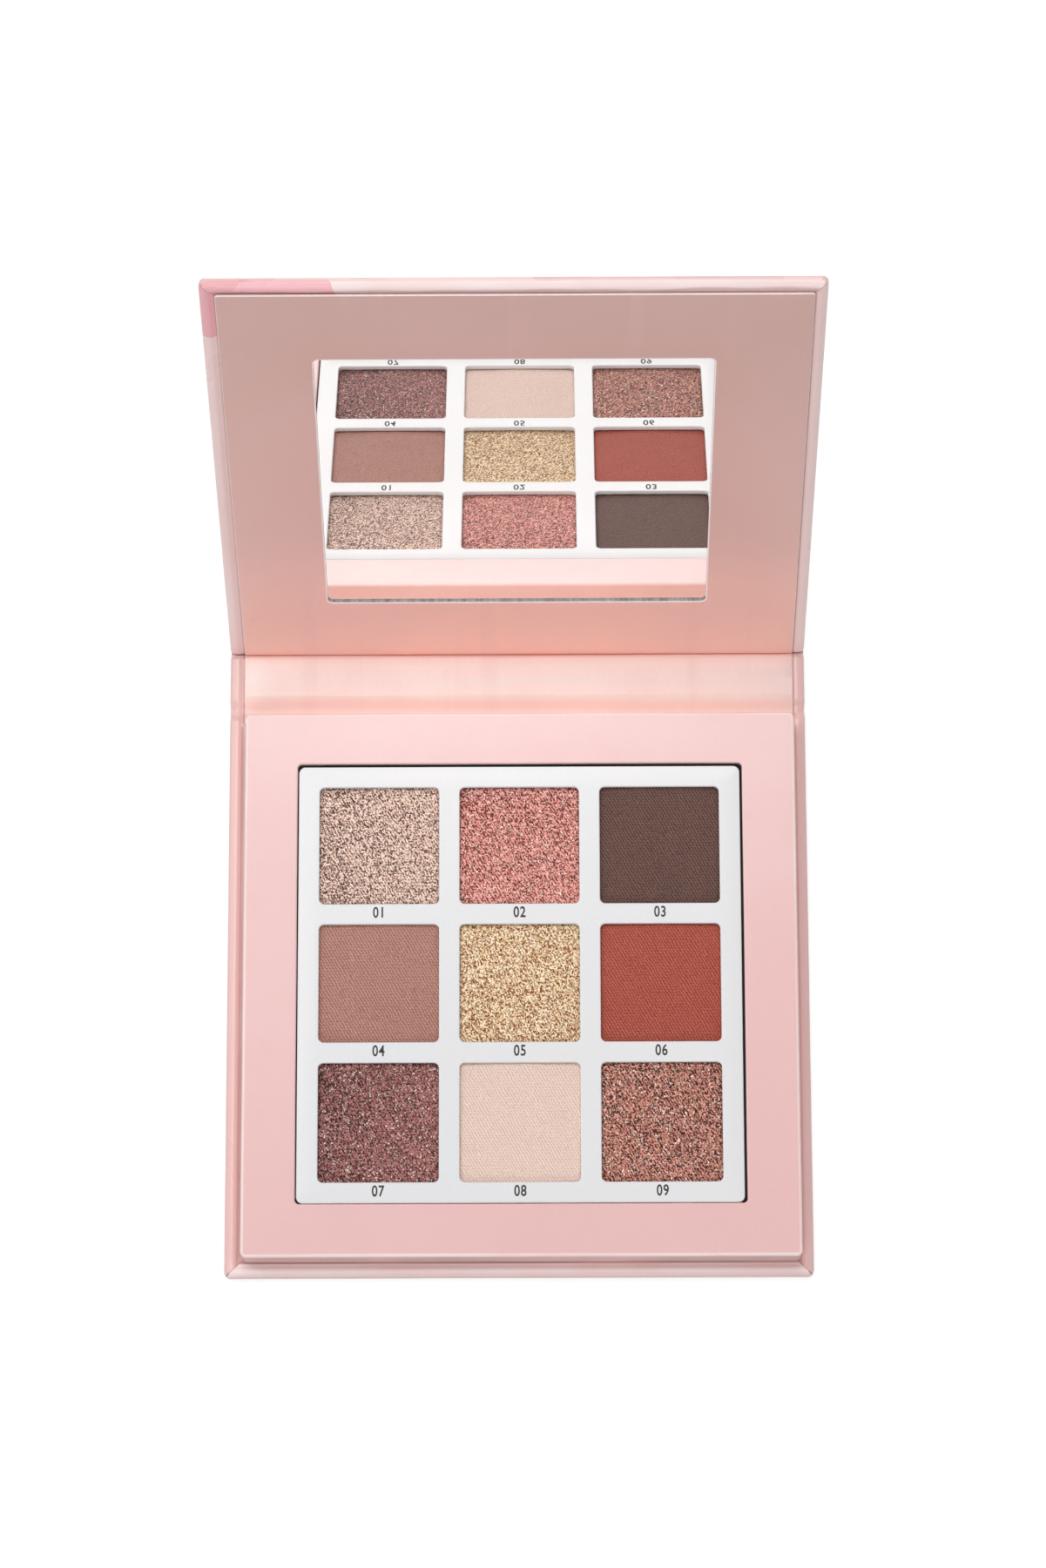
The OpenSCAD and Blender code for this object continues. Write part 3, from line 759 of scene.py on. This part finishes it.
def case_sheet(seed, fold_t, notch):
    """The turned-in sheet round one panel and half of the spine, with a soft roll on its edges, a
    mitre ridge at its corners, and tucks where it is folded."""
    shape = Shape()
    ts = stations()
    n = 2 * len(BORDER) + 7    # points across the sheet, on each of its sides
    loops = []
    for t in ts:
        d = max(0.0, PANEL_D - t)
        full = smooth(0.3, 2.0, abs(t))
        thick = fold_t + (PANEL_T - fold_t) * full
        tall, low_r = min(ROLL_H, 0.42 * thick), min(LOWER_R, 0.32 * thick)
        w = HALF_W - 0.12 * (1 - full)
        if d < CORNER_R:
            w += -CORNER_R + math.sqrt(CORNER_R ** 2 - (CORNER_R - d) ** 2)
        crush = math.exp(-(t / 2.2) ** 2)
        calm = smooth(-HALF_SPINE, -HALF_SPINE + 1.6, t)
        half = [(w - e, e) for e in BORDER] + [(x, MIDDLE) for x in (34.0, 22.0, 11.0)]
        line = [(-x, e) for x, e in half] + [(0.0, MIDDLE)] + half[::-1]
        low, top = [], []
        for x, e in line:
            end = math.exp(-e / 3.0)
            near = min(e, d)
            soft = SLOW_WAVE * wobble(x, t, 0, 14, seed) * end * calm
            tuck = wobble(x * 1.3, t * 1.5, 0, 1.6, seed + 5) * crush * end * calm
            px = x + math.copysign(soft + TUCK_OUT * tuck, x) if e < MIDDLE else x
            z = thick - max(edge_drop(e, ROLL_W, tall), edge_drop(d, ROLL_W, tall))
            z += EDGE_RIDGE * math.exp(-((near - 1.4) / 0.6) ** 2) - EDGE_DIP * smooth(1.7, 2.3, near)
            z -= notch * math.exp(-(t / 0.24) ** 2) * smooth(3.4, 2.4, e)
            mitre = math.exp(-((e - d) / 0.32) ** 2)
            z += MITRE_RIDGE * mitre * smooth(5.0, 1.0, max(e, d)) * smooth(0.2, 0.9, near)
            z += CRUMPLE * abs(wobble(x, t, 0, 1.1, seed + 3)) * smooth(3.6, 1.2, max(e, d))
            z += FLAT_WAVE * wobble(x, t, 0, 22, seed + 9) * smooth(0.5, 1.5, near) * calm
            z += TUCK_UP * tuck * smooth(0.0, 0.6, e)
            top.append((px, t, z))
            low.append((px, t, max(edge_drop(e, low_r, low_r), edge_drop(d, low_r, low_r))))
        loops.append(shape.add(low + top[::-1]))
    uvs = []

    def spread(ids, part):
        """The place of each corner on the flat sheet, on the part of it that the face belongs to."""
        x_mid = sum(shape.v[v][0] for v in ids) / 4
        t_mid = sum(shape.v[v][1] for v in ids) / 4
        side = HALF_W - abs(x_mid) < PANEL_D - t_mid
        out = []
        for v in ids:
            x, t, z = shape.v[v]
            if part == "top" and side:
                x = math.copysign(2 * HALF_W - abs(x) + PANEL_T, x_mid)
            elif part == "top":
                t = 2 * PANEL_D - t + PANEL_T
            elif part == "wall":
                x += math.copysign(z, x_mid)
            elif part == "end":
                t += z
            out.append((x * MM, t * MM))
        return out

    for k, (a, b) in enumerate(zip(loops, loops[1:])):
        for i in range(2 * n):
            j = (i + 1) % (2 * n)
            part = "wall" if i in (n - 1, 2 * n - 1) else "low" if i < n else "top"
            ids = (a[i], a[j], b[j], b[i])
            if part == "top":
                x_mid, t_mid = abs(shape.v[a[i]][0] + shape.v[a[j]][0]) / 2, (ts[k] + ts[k + 1]) / 2
                if x_mid < HALF_W - TURN_IN - 0.5 and t_mid < PANEL_D - TURN_IN - 0.5:
                    continue
            shape.face(ids)
            uvs.append(spread(ids, part))
    last = loops[-1]
    for i in range(n - 1):
        ids = (last[i], last[i + 1], last[2 * n - 2 - i], last[2 * n - 1 - i])
        shape.face(ids)
        uvs.append(spread(ids, "end"))
    shape.uv = dict(enumerate(uvs))
    return shape


def solid_sheet(shape, name, place, thickness, mats, replaces):
    """Gives an open sheet its thickness, inwards, and closes it."""
    ob = make(shape, name, None, place, mats, replaces)
    mod = ob.modifiers.new("thickness", "SOLIDIFY")
    mod.thickness = thickness * MM
    mod.offset = -1
    mod.use_even_offset = False
    mod.use_rim = True
    me = baked(ob)
    me.set_sharp_from_angle(angle=math.radians(SHARP))
    ob.modifiers.clear()
    ob.data = me
    return ob


def base_side(x, t, h):
    """A point of the base half: t from the base fold towards the front."""
    return on_base(x, -t, h)


sheet = case_sheet(1.0, FRONT_FOLD_T, 0.0)
front = solid_sheet(sheet, "case_wrap_front", base_side, WRAP_T, [mat_wrap_front],
                    ["base_wrap", "spine_wrap"])
bend_at_base(front)
sheet = case_sheet(7.0, LID_FOLD_T, 0.45)
for k, f in enumerate(sheet.f):
    sheet.f[k] = f[::-1]
    sheet.uv[k] = sheet.uv[k][::-1]
back = solid_sheet(sheet, "case_wrap_lid", on_lid, WRAP_T, [mat_wrap_lid],
                   ["lid_wrap"])
bend_at_lid(back)

# ---- The liner paper ----


def fold_ripple(x, s, height, seed):
    """The ripple of a liner beside its fold."""
    return height * wobble(x, s * 2.5, 0, 9, seed) * math.exp(-(s / 3) ** 2)


def liner_grid(rows, top, low, seed):
    """A strip of liner across the case, with a height above the sheet's outside at each row."""
    shape = Shape()
    w = LINER_HALF_W
    xs = [-w, -w + 0.05, *np.linspace(-w + 1, w - 1, 35), w - 0.05, w]
    up, down = [], []
    for s in rows:
        ripple = [fold_ripple(x, s, 0.05, seed) for x in xs]
        edge = [0.05 if abs(x) > w - 0.01 else 0.0 for x in xs]
        up.append(shape.add([(x, s, top(s) + r - e) for x, r, e in zip(xs, ripple, edge)]))
        down.append(shape.add([(x, s, low(s) + r + e) for x, r, e in zip(xs, ripple, edge)]))
    for a, b in zip(up, up[1:]):
        for i in range(len(xs) - 1):
            shape.face((a[i], a[i + 1], b[i + 1], b[i]))
    for a, b in zip(down, down[1:]):
        for i in range(len(xs) - 1):
            shape.face((a[i + 1], a[i], b[i], b[i + 1]))
    for k in range(len(rows) - 1):
        shape.face((down[k][0], up[k][0], up[k + 1][0], down[k + 1][0]), 1)
        shape.face((up[k][-1], down[k][-1], down[k + 1][-1], up[k + 1][-1]), 1)
    for i in range(len(xs) - 1):
        shape.face((down[0][i], down[0][i + 1], up[0][i + 1], up[0][i]), 1)
        shape.face((up[-1][i], up[-1][i + 1], down[-1][i + 1], down[-1][i]), 1)
    return shape


def front_top(s):
    """The height of the spine liner's face, at s behind the base fold."""
    trough = FRONT_FOLD_T + SPINE_LINER_T
    rise = PANEL_T + SPINE_LINER_T - trough
    return trough + rise * (smooth(-0.5, -1.75, s) if s < 0 else smooth(0.2, 2.8, s))


tray_back = TRAY_HIGH.y - BASE_FOLD
rows = [tray_back + 0.04, -2.1, -1.8, -1.6, -1.4, -1.2, -1.0, -0.8, -0.6, -0.3, 0.0, 0.3, 0.6, 0.9,
        1.2, 1.5, 1.8, 2.1, 2.4, 2.7, 3.1, 3.8, 4.8, HALF_SPINE]


def trim(shape):
    """Cuts the liner a little narrower on its left side."""
    shape.v = [(x + LEFT_TRIM * smooth(-40, -LINER_HALF_W, x), s, h) for x, s, h in shape.v]


strip = liner_grid(rows, front_top, lambda s: front_top(s) - SPINE_LINER_T + 0.01, 3.0)
trim(strip)
liner_front = make(strip, "liner_front", None, on_base, [mat_spine, mat_edge_and_highlight],
                   ["spine_liner"])
bend_at_base(liner_front)


def lid_liner_t(s):
    """The thickness of the lid's liner: paper across the fold, and card from there on."""
    return SPINE_LINER_T + (LINER_T - SPINE_LINER_T) * smooth(1.5, 4.5, s)


def lid_liner_top(x, s):
    """The height of its face above the sheet's outside."""
    dip = 0.2 * math.exp(-(s / 1.2) ** 2) + 0.22 * math.exp(-(s / 0.26) ** 2)
    return PANEL_T + lid_liner_t(s) - dip + fold_ripple(x, s, 0.04, 6.0)


def lid_liner_low(x, s):
    """The height of its back."""
    return lid_liner_top(x, s) - lid_liner_t(s) + 0.005


def liner_outline(rows):
    """The edge of the lid's liner, from the middle of the spine to the lid's free edge."""
    w, far, r = LINER_HALF_W, LINER_FAR, 0.5
    right = [(w, s) for s in rows] + [(w, s) for s in np.linspace(12, far - 6, 16)]
    turn = np.linspace(0, math.pi / 2, 6)
    corner = [(w - r + r * math.cos(a), far - r + r * math.sin(a)) for a in turn]
    half = right + corner
    across = [(x, far) for x in np.linspace(w - r, -w + r, 18)[1:-1]]
    bottom = [(x, rows[0]) for x in np.linspace(-w, w, 19)[1:-1]]
    return half + across + [(-x, s) for x, s in half[::-1]] + bottom


def at_end(x, y):
    """Picks out the liner's end at the middle of the spine."""
    return y < -HALF_SPINE + 0.001


fold_rows = [-HALF_SPINE, -4.5, -3.4, -2.6, -2.1, -1.8, -1.5, -1.2, -0.9, -0.7, -0.5, -0.36, -0.24,
             -0.12, 0.0, 0.12, 0.24, 0.36, 0.5, 0.7, 0.9, 1.2, 1.5, 1.8, 2.1, 2.6, 3.2, 4.0, 5.0, 6.5]
window = round_rect(WINDOW_W, WINDOW_H, WINDOW_R, 0, MIRROR_MID, 6, 8)[::-1]
LIP_W, LIP_DROP = 0.24, 0.09    # of the softened edge of the liner on the lid
# The lip's outer rings take material 1, near white: partly the cut edge, partly a painted highlight.
lip = [(LIP_W, lid_liner_top, 0), (0.3 * LIP_W, below(lid_liner_top, 0.3 * LIP_DROP), 1),
       (0.0, below(lid_liner_top, LIP_DROP), 1)]
liner_rings = [(0.06, lid_liner_low, 0), (0.0, below(lid_liner_low, -0.06), 1)] + lip[::-1]
hole_rings = lip + [(0.0, below(lid_liner_low, -0.02), 2), (0.02, lid_liner_low, 2)]
across = np.linspace(-LINER_HALF_W + LIP_W, LINER_HALF_W - LIP_W, 25)[1:-1]
cross = [[(x, s) for x in across] for s in fold_rows[1:]]
lid_liner = slab(liner_outline(fold_rows), liner_rings, [(window, hole_rings)], cross, at_end)
trim(lid_liner)
liner_lid = make(lid_liner, "liner_lid", None, on_lid, [mat_liner, mat_edge_and_highlight, mat_core],
                 ["lid_liner"])
bend_at_lid(liner_lid)

# ---- The tray ----

tray_w, tray_d, tray_x, tray_y = plan_of(TRAY_LOW, TRAY_HIGH)
TRAY_WAVE = 0.05


def tray_top(x, y):
    """The rim's top, drawn down a little by its paper between the corners."""
    return TRAY_HIGH.z - 0.03 + 0.03 * wobble(x, y, 0, 30, 2.0)


tray_loop = round_rect(tray_w, tray_d, 1.0, tray_x, tray_y, 6, 14)
tray_hole = round_rect(TRAY_WINDOW, TRAY_WINDOW, 0.8, tray_x, tray_y, 6, 14)[::-1]
rings = [(TRAY_WALL, SHELF, 0), (TRAY_WALL, PANEL_T, 0), (0.05, PANEL_T, 0), (0.0, PANEL_T + 0.12, 0),
         (0.0, PANEL_T + 0.5, 0), (0.02, PANEL_T + 3.4, 0), (0.0, below(tray_top, 0.9), 0)]
# The rounding takes material 1, the paler paper of the painted highlight.
rings += rounding(0.5, tray_top, 6, 1) + [(0.54, tray_top, 0)]
inner = [(q, h, 0) for q, h, m in rounding(0.28, tray_top, 5)[::-1]]
inner += [(0.0, SHELF + 0.05, 0), (0.03, SHELF, 0)]
tray = slab(tray_loop, rings, [(tray_hole, inner)])
for k, (x, y, z) in enumerate(tray.v):
    give = smooth(PANEL_T, PANEL_T + 2, z)
    dx = TRAY_WAVE * wobble(x, y, z, 16, 11.0) * give
    dy = TRAY_WAVE * wobble(y, x, z, 16, 13.0) * give
    tray.v[k] = (x + dx, y + dy, z)
# The back wall's faces take material 2, painted paler against its shade.
for k, ids in enumerate(tray.f):
    if min(tray.v[v][1] for v in ids) > tray_y + tray_d / 2 - 0.2:
        tray.m[k] = 2
make(tray, "tray_paper_box", "base", None, [mat_tray, mat_tray_edge_highlight, mat_tray_back_lift],
     ["tray_wrap"])

# ---- The white card and its nine openings ----

card_w, card_d, card_x, card_y = plan_of(CARD_LOW, CARD_HIGH)
CARD_TOP = CARD_HIGH.z
PANS = [plan_of(*box_mm(f"powder_{i + 1}"))[2:] for i in range(9)]
card_loop = round_rect(card_w, card_d, 1.2, card_x, card_y, 8)
edge = [(0.03, SHELF, 0), (0.0, SHELF + 0.03, 0)] + rounding(0.16, CARD_TOP, 4)
holes = []
for px, py in PANS:
    loop = round_rect(OPENING, OPENING, OPENING_R, px, py, 8)[::-1]
    down = [(q, h, 0) for q, h, m in rounding(0.2, CARD_TOP, 4)[::-1]]
    holes.append((loop, down + [(0.0, SHELF + 0.02, 0), (0.02, SHELF, 0)]))
card = slab(card_loop, edge, holes)
make(card, "pan_frame_card", "base", None, [mat_card], ["pan_card"])

# ---- Powders ----

SHADES = [
    # name, pale, mid, dark, shimmer, weave, lean (a painted sheen)
    ("champagne", (255, 220, 203), (173, 132, 116), (64, 35, 25), 0.95, 1.0, (0.10, -0.02)),
    ("rose", (252, 177, 165), (172, 78, 69), (74, 13, 13), 0.9, 0.95, (0.05, -0.07)),
    ("umber", (120, 88, 79), (92, 62, 54), (64, 37, 30), 0.0, 1.0, (0.0, 0.02)),
    ("beige", (203, 153, 139), (178, 128, 114), (150, 102, 90), 0.0, 1.0, (0.0, 0.02)),
    ("gold", (255, 236, 196), (223, 157, 99), (122, 62, 22), 1.0, 0.8, (0.03, 0.03)),
    ("brick", (193, 100, 82), (167, 74, 58), (139, 53, 40), 0.0, 1.0, (0.0, 0.02)),
    ("plum", (188, 122, 117), (68, 30, 28), (13, 3, 4), 0.85, 0.8, (0.12, -0.05)),
    ("ivory", (253, 229, 217), (243, 214, 201), (223, 191, 175), 0.0, 1.0, (0.0, 0.0)),
    ("copper", (224, 151, 132), (106, 52, 45), (24, 6, 4), 0.95, 0.95, (0.0, -0.03)),
]
CELLS = 96
POWDER_HALF, POWDER_TOP, POWDER_CROWN = 11.4, 8.2, 0.25


def powder_mesh(px, py, low, seed):
    """A pressed pad: crowned, a little uneven, and worn soft where it meets the card."""
    shape = Shape()
    line = np.linspace(-POWDER_HALF, POWDER_HALF, CELLS + 1)
    rim, mark, grain = 0.17, 0.03, 0.014
    grid = []
    for v in line:
        row = []
        for u in line:
            away = OPENING / 2 - max(abs(u), abs(v))
            z = POWDER_TOP - POWDER_CROWN * (u * u + v * v) / (OPENING / 2) ** 2
            z += mark * wobble(u, v, 0, 3.1, seed) + grain * wobble(u, v, 0, 0.55, seed + 3)
            z -= rim * math.exp(-max(0.0, away) / 0.28) * (0.8 + 0.5 * wobble(u, v, 0, 1.6, seed + 7))
            if away < 0:
                z = min(z, SHELF - 0.12)
            row.append((px + u, py + v, z))
        grid.append(shape.add(row))
    for a, b in zip(grid, grid[1:]):
        for i in range(CELLS):
            shape.face((a[i], a[i + 1], b[i + 1], b[i]))
    border = grid[0] + [r[-1] for r in grid[1:-1]] + grid[-1][::-1] + [r[0] for r in grid[-2:0:-1]]
    foot = shape.add([(shape.v[i][0], shape.v[i][1], low) for i in border])
    shape.skin(foot, border)
    shape.face(foot[::-1])
    return shape


for i, ((px, py), (shade, pale, mid, dark, shimmer, weave, lean)) in enumerate(zip(PANS, SHADES)):
    low = box_mm(f"powder_{i + 1}")[0].z
    mat = powder(f"powder_{shade}", srgb(*pale), srgb(*mid), srgb(*dark), shimmer, i + 1.0, weave,
                 (px, py), lean)
    make(powder_mesh(px, py, low + 0.3, 10.0 * i), f"pressed_{shade}", "base", None, [mat],
         [f"powder_{i + 1}"], 80)

# ---- Plain numbers under the pans ----

NUMBER_H, NUMBER_GAP, NUMBER_SQUEEZE, NUMBER_LIFT = 2.05, 0.5, 0.76, 0.006
CAP_HEIGHT = 0.729    # of the built-in font, at size 1


def number(i, px, py):
    """The number of a powder, printed in front of its opening."""
    curve = bpy.data.curves.new(f"number_{i + 1}", "FONT")
    curve.body = f"0{i + 1}"
    curve.size = NUMBER_H / CAP_HEIGHT * MM
    curve.align_x = "CENTER"
    curve.extrude = 0.008 * MM
    curve.space_character = 1.12
    curve.offset = 0.055 * MM
    ob = stand(f"number_{i + 1}", curve)
    me = baked(ob)
    bpy.data.objects.remove(ob)
    me.transform(Matrix.Diagonal((NUMBER_SQUEEZE, 1.0, 1.0, 1.0)))
    y = py - OPENING / 2 - NUMBER_GAP - NUMBER_H
    me.transform(Matrix.Translation(Vector((px, y, CARD_TOP + NUMBER_LIFT)) * MM))
    me.materials.clear()
    me.materials.append(mat_ink)
    made = stand(f"number_0{i + 1}", me)
    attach(made, "base")


for i, (px, py) in enumerate(PANS):
    number(i, px, py)

# ---- Finishes of the CAD parts that show as they are ----

FINISH = {
    "base_board": mat_grey, "tray_box": mat_grey, "riser_board": mat_grey, "spine_board": mat_grey,
    "lid_back_board": mat_grey, "lid_frame_board": mat_grey, "pan_carrier": mat_gap_shade,
    "pan_glue": mat_glue, "tray_magnets": mat_magnet, "lid_discs": mat_steel, "mirror": mat_mirror,
    "mirror_tape": mat_tape, **{f"pan_{i}": mat_tin for i in range(1, 10)},
}
for node, mat in FINISH.items():
    ob = NODES[node]
    ob.data.materials.clear()
    ob.data.materials.append(mat)
    ob.data.polygons.foreach_set("material_index", [0] * len(ob.data.polygons))

# ---- Floor, light and camera ----

HORIZON, ZENITH = 0.64, 0.15
# Metres from the middle between which the floor's added white rises from FLOOR_GLOW to 1.
FLOOR_NEAR, FLOOR_FAR, FLOOR_GLOW = 0.5, 1.5, 0.66
FLOOR_R, FLOOR_Z = 3.0, -0.0002


def seen(m):
    """1 for what the camera sees, directly, in a mirror or through glass, and 0 for other rays."""
    path = m.node("ShaderNodeLightPath").outputs
    either = m.math("MAXIMUM", path["Is Camera Ray"], path["Is Glossy Ray"])
    return m.math("MAXIMUM", either, path["Is Transmission Ray"])


def floor():
    """A pale floor with white added where it is seen."""
    m = Nodes("floor_white")
    grain = m.noise(m.place(), 0.01, 2.0)
    tone = m.mix(grain, (0.50, 0.50, 0.50, 1.0), (0.49, 0.49, 0.49, 1.0))
    diffuse = m.node("ShaderNodeBsdfDiffuse", Color=tone).outputs[0]
    reach = m.node("ShaderNodeVectorMath", {"operation": "LENGTH"})
    m.put(reach.inputs[0], m.node("ShaderNodeNewGeometry").outputs["Position"])
    glow = m.span(reach.outputs["Value"], FLOOR_NEAR, FLOOR_FAR, FLOOR_GLOW, 1.0)
    white = m.node("ShaderNodeEmission", Color=WHITE, Strength=m.times(seen(m), glow))
    both = m.node("ShaderNodeAddShader")
    m.put(both.inputs[0], diffuse)
    m.put(both.inputs[1], white.outputs[0])
    m.put(m.out.inputs["Surface"], both.outputs[0])
    me = bpy.data.meshes.new("floor")
    corners = [(x * FLOOR_R, y * FLOOR_R, FLOOR_Z) for x, y in ((-1, -1), (1, -1), (1, 1), (-1, 1))]
    me.from_pydata(corners, [], [(0, 1, 2, 3)])
    me.materials.append(m.home)
    ob = stand("floor", me)


def world():
    """White where it is seen, and for the light it gives a soft fall from the horizon to the top."""
    m = Nodes("studio", world=True)
    bpy.context.scene.world = m.home
    height = m.parts(m.node("ShaderNodeTexCoord").outputs["Generated"])["Z"]
    strength = m.node("ShaderNodeMix", {"data_type": "FLOAT"})
    for k, value in ((0, seen(m)), (2, m.span(height, 0.0, 0.6, HORIZON, ZENITH)), (3, 1.0)):
        m.put(strength.inputs[k], value)
    back = m.node("ShaderNodeBackground", Color=WHITE, Strength=strength.outputs[0])
    m.put(m.out.inputs["Surface"], back.outputs[0])


def softbox(name, where, aim, width, height, power):
    """A rectangular light that faces aim."""
    light = bpy.data.lights.new(name, "AREA")
    light.shape = "RECTANGLE"
    light.size, light.size_y, light.energy = width, height, power
    ob = stand(name, light)
    ob.location = where
    ob.rotation_euler = (Vector(aim) - Vector(where)).to_track_quat("-Z", "Y").to_euler()


floor()
world()
softbox("back_key", (-0.2, 0.42, 1.15), (0, 0.05, 0), 1.0, 0.4, 5.5)
softbox("left_back", (-0.9, 0.45, 0.75), (0, 0.06, 0), 0.5, 0.5, 1.6)
softbox("overhead", (0.1, -0.38, 1.2), (0, 0.0, 0), 1.0, 0.6, 3.0)
softbox("front_fill", (-0.35, -1.3, 0.83), (0, 0.03, 0.03), 1.1, 0.42, 6.2)
softbox("right_fill", (1.1, 0.1, 0.8), (0, 0.03, 0.0), 0.8, 0.7, 0.5)
softbox("rear_fill", (0.2, 1.5, 0.5), (0, 0.1, 0.05), 1.6, 0.9, 5.0)

# The camera found by the fit to the photograph, in its pixels, metres and degrees.
FOCAL_PX, IMAGE_H, SENSOR = 5667.08, 1801, 36.0
DISTANCE, TILT, YAW, ROLL = 0.92049, 13.5074, 0.9158, -0.1735
AIM_X, AIM_Y = 0.0009938, 0.0394208
tilt, yaw, roll = (math.radians(a) for a in (TILT, YAW, ROLL))
away = Vector((math.sin(yaw) * math.sin(tilt), -math.cos(yaw) * math.sin(tilt), math.cos(tilt)))
right = (-away).cross(Vector((0, 1, 0))).normalized()
up = right.cross(-away)
cam_x = right * math.cos(roll) + up * math.sin(roll)
cam_y = -right * math.sin(roll) + up * math.cos(roll)
cam = bpy.data.cameras.new("camera")
cam.sensor_fit = "AUTO"
cam.sensor_width = SENSOR
cam.lens = FOCAL_PX * SENSOR / IMAGE_H
cam.clip_start, cam.clip_end = 0.05, 20.0
cam_ob = stand("camera", cam)
view = Matrix((cam_x, cam_y, away)).transposed().to_4x4()
view.translation = Vector((AIM_X, AIM_Y, 0)) + away * DISTANCE
cam_ob.matrix_world = view
bpy.context.scene.camera = cam_ob
bpy.context.scene.view_settings.view_transform = "Standard"
